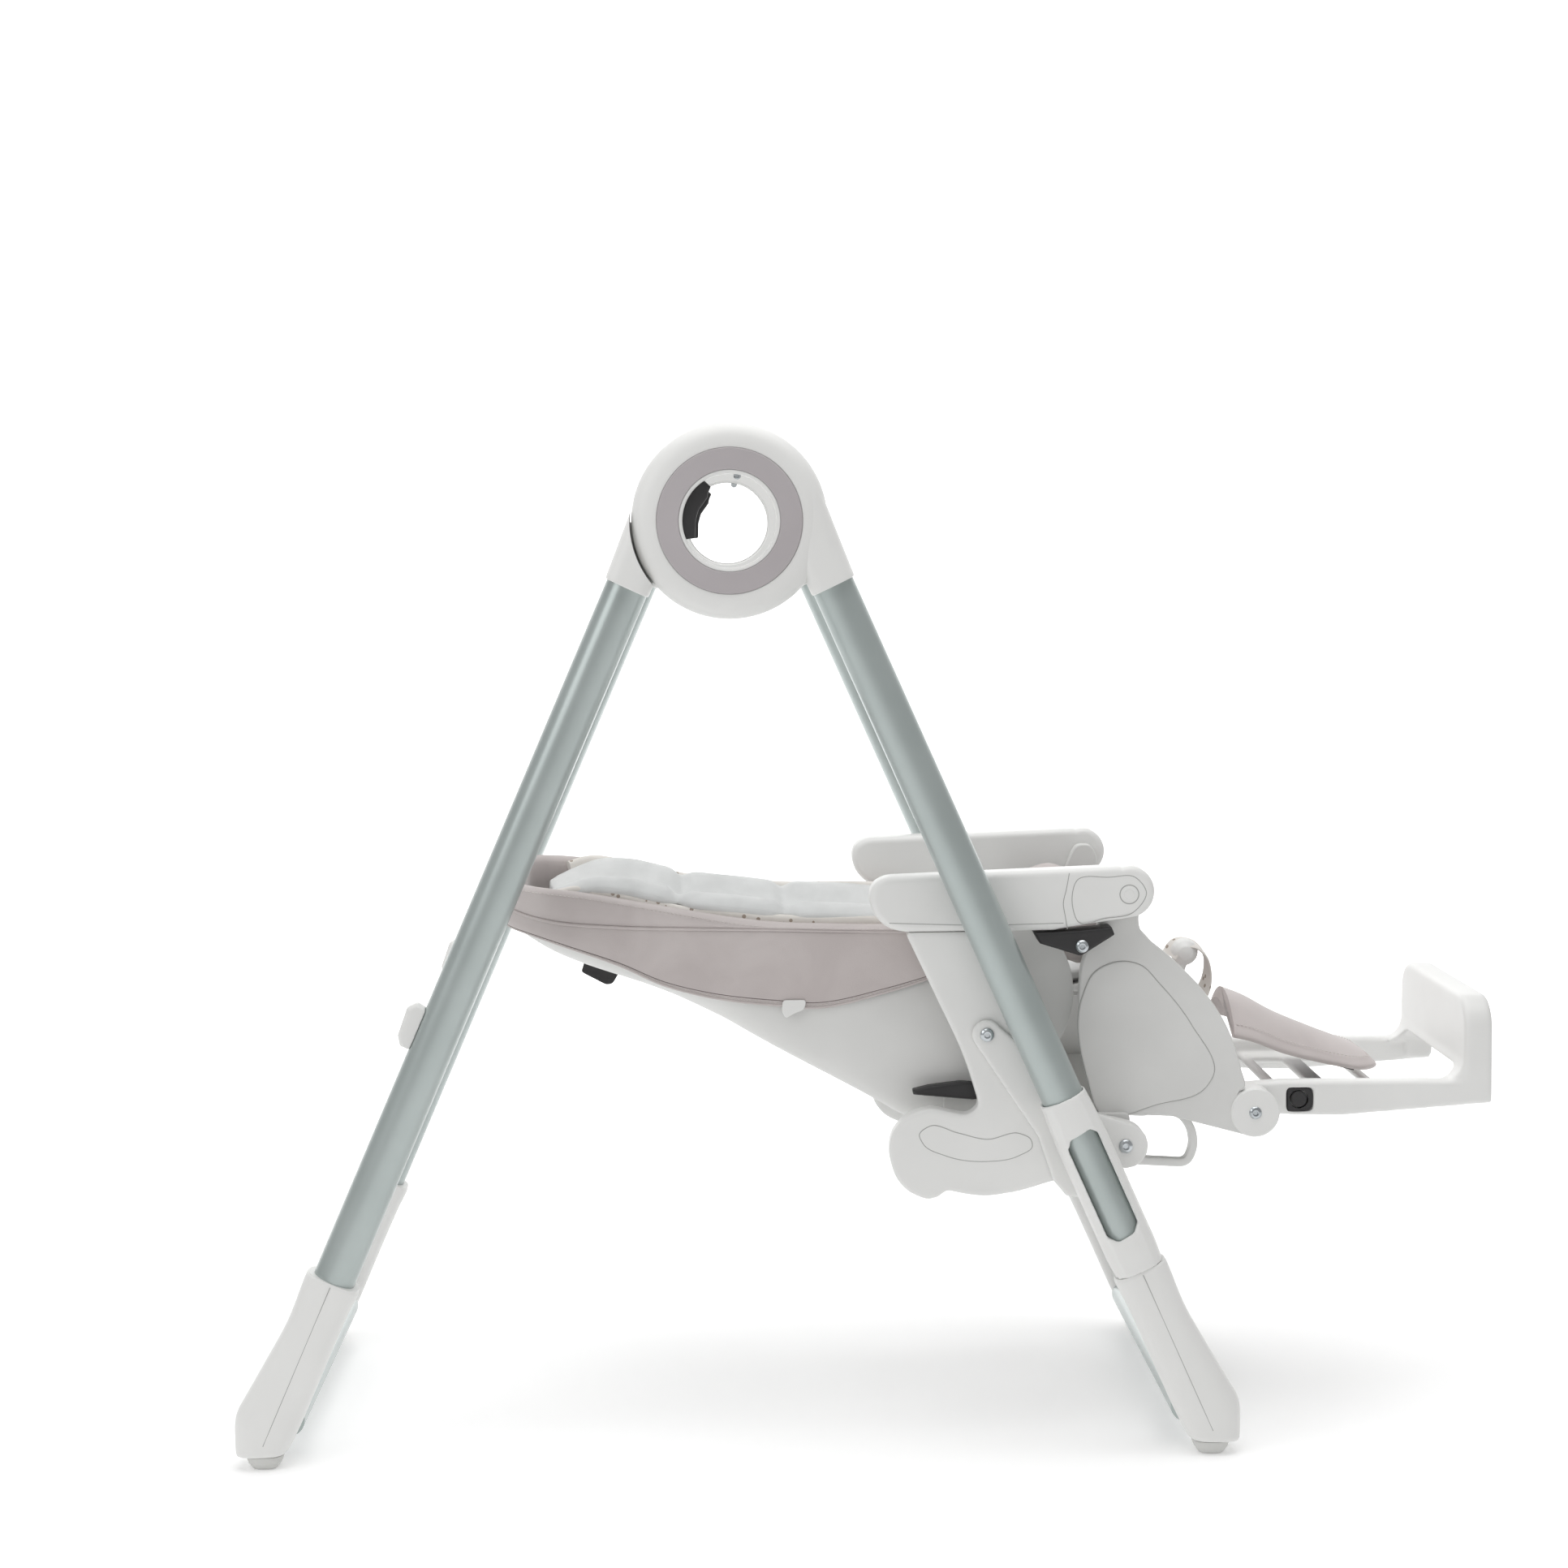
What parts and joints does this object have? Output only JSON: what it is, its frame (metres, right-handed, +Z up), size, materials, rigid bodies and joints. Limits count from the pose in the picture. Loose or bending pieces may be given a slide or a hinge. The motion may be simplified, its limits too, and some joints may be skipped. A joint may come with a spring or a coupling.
{
  "type": "folding baby swing and high chair",
  "caption": "Folding A-frame baby swing and high chair: round hubs, tube legs, height-adjustable reclining bucket seat, lifting armrests and tilting leg rest.",
  "frame": {"origin": "on the floor, under the middle of the whole length and width", "axes": "+X toward the foot end of the seat, +Y toward the seated child's left, +Z up"},
  "size_m": [1.2818, 0.5284, 1.03],
  "materials": {
    "white_plastic": "satin white moulded plastic",
    "shell_plastic": "satin light grey moulded plastic",
    "tube": "satin grey-green metallic paint",
    "ring_plastic": "satin mauve-grey plastic",
    "black_plastic": "matt black plastic",
    "steel": "zinc-plated steel",
    "pad_rubber": "matt pale rubber",
    "cover": "smooth mauve-grey coated fabric",
    "liner": "soft white knitted fabric"
  },
  "bodies": {
    "front_frame": {"hub_shell_right": "white_plastic", "hub_shell_left": "white_plastic", "hub_trim_right": "ring_plastic", "hub_trim_left": "ring_plastic", "hub_cover_right": "white_plastic", "hub_cover_left": "white_plastic", "front_leg_right": "tube", "front_leg_left": "tube", "front_foot_right": "white_plastic", "front_foot_left": "white_plastic", "front_foot_pad_right": "pad_rubber", "front_foot_pad_left": "pad_rubber", "front_floor_bar": "tube"},
    "rear_frame": {"rear_socket_right": "white_plastic", "rear_socket_left": "white_plastic", "rear_leg_right": "tube", "rear_leg_left": "tube", "rear_foot_right": "white_plastic", "rear_foot_left": "white_plastic", "rear_foot_pad_right": "pad_rubber", "rear_foot_pad_left": "pad_rubber", "tray_peg_right": "white_plastic", "tray_peg_left": "white_plastic", "rear_floor_bar": "tube"},
    "swing_socket_right": {"swing_socket_right": "white_plastic"},
    "swing_socket_left": {"swing_socket_left": "white_plastic"},
    "fold_trigger_right": {"fold_trigger_right": "black_plastic"},
    "fold_trigger_left": {"fold_trigger_left": "black_plastic"},
    "seat": {"carriage_right": "white_plastic", "carriage_left": "white_plastic", "upper_bolt_right": "steel", "upper_bolt_left": "steel", "lower_bolt_right": "steel", "lower_bolt_left": "steel", "side_support_right": "white_plastic", "side_support_left": "white_plastic", "seat_bolster_right": "cover", "seat_bolster_left": "cover", "arm_bracket_right": "black_plastic", "arm_bracket_left": "black_plastic", "seat_base": "shell_plastic", "seat_pad": "liner", "crotch_post": "white_plastic"},
    "recline_lever": {"recline_lever": "black_plastic"},
    "backrest": {"backrest_shell": "shell_plastic", "backrest_pad": "liner", "backrest_bolster_right": "cover", "backrest_bolster_left": "cover", "seat_cover": "cover"},
    "recline_grip": {"recline_grip": "black_plastic"},
    "armrest_right": {"armrest_right": "white_plastic"},
    "armrest_left": {"armrest_left": "white_plastic"},
    "armrest_button_right": {"armrest_button_right": "white_plastic"},
    "armrest_button_left": {"armrest_button_left": "white_plastic"},
    "leg_rest": {"leg_rest": "white_plastic", "calf_pad": "cover"},
    "leg_rest_button_right": {"leg_rest_button_right": "black_plastic"},
    "leg_rest_button_left": {"leg_rest_button_left": "black_plastic"}
  },
  "joints": [
    {"name": "rear_fold", "type": "hinge", "parent": "front_frame", "child": "rear_frame", "pos_m": [-0.138, 0, 0.9346], "axis": [0, -1, 0], "range_deg": [0, 40]},
    {"name": "seat_height", "type": "slide", "parent": "front_frame", "child": "seat", "axis": [-0.4026, 0, 0.9154], "range_m": [0, 0.22]},
    {"name": "backrest_recline", "type": "hinge", "parent": "seat", "child": "backrest", "pos_m": [0.1139, 0, 0.455], "axis": [0, 1, 0], "range_deg": [0, 55]},
    {"name": "leg_rest_tilt", "type": "hinge", "parent": "seat", "child": "leg_rest", "pos_m": [0.3899, 0, 0.331], "axis": [0, 1, 0], "range_deg": [0, 80]},
    {"name": "recline_lever_pull", "type": "hinge", "parent": "seat", "child": "recline_lever", "pos_m": [0.1179, -0.17, 0.357], "axis": [0, 1, 0], "range_deg": [0, 10], "stiffness_Nm_per_rad": 2},
    {"name": "recline_grip_pull", "type": "hinge", "parent": "backrest", "child": "recline_grip", "pos_m": [-0.2916, 0, 0.481], "axis": [0, 1, 0], "range_deg": [0, 12], "stiffness_Nm_per_rad": 2},
    {"name": "armrest_right_lift", "type": "hinge", "parent": "seat", "child": "armrest_right", "pos_m": [0.2569, -0.188, 0.56], "axis": [0, 1, 0], "range_deg": [0, 80]},
    {"name": "armrest_right_release", "type": "slide", "parent": "armrest_right", "child": "armrest_button_right", "axis": [0, 1, 0], "range_m": [0, 0.0025], "stiffness_N_per_m": 400},
    {"name": "leg_rest_right_release", "type": "slide", "parent": "leg_rest", "child": "leg_rest_button_right", "axis": [0, 1, 0], "range_m": [0, 0.0015], "stiffness_N_per_m": 400},
    {"name": "swing_socket_right_turn", "type": "hinge", "parent": "front_frame", "child": "swing_socket_right", "pos_m": [-0.138, -0.2103, 0.9346], "axis": [0, 1, 0], "range_deg": [-12, 12]},
    {"name": "fold_trigger_right_pull", "type": "slide", "parent": "front_frame", "child": "fold_trigger_right", "axis": [-1, 0, 0], "range_m": [0, 0.004], "stiffness_N_per_m": 400},
    {"name": "armrest_left_lift", "type": "hinge", "parent": "seat", "child": "armrest_left", "pos_m": [0.2569, 0.188, 0.56], "axis": [0, 1, 0], "range_deg": [0, 80]},
    {"name": "armrest_left_release", "type": "slide", "parent": "armrest_left", "child": "armrest_button_left", "axis": [0, -1, 0], "range_m": [0, 0.0025], "stiffness_N_per_m": 400},
    {"name": "leg_rest_left_release", "type": "slide", "parent": "leg_rest", "child": "leg_rest_button_left", "axis": [0, -1, 0], "range_m": [0, 0.0015], "stiffness_N_per_m": 400},
    {"name": "swing_socket_left_turn", "type": "hinge", "parent": "front_frame", "child": "swing_socket_left", "pos_m": [-0.138, 0.2103, 0.9346], "axis": [0, 1, 0], "range_deg": [-12, 12]},
    {"name": "fold_trigger_left_pull", "type": "slide", "parent": "front_frame", "child": "fold_trigger_left", "axis": [-1, 0, 0], "range_m": [0, 0.004], "stiffness_N_per_m": 400}
  ]
}
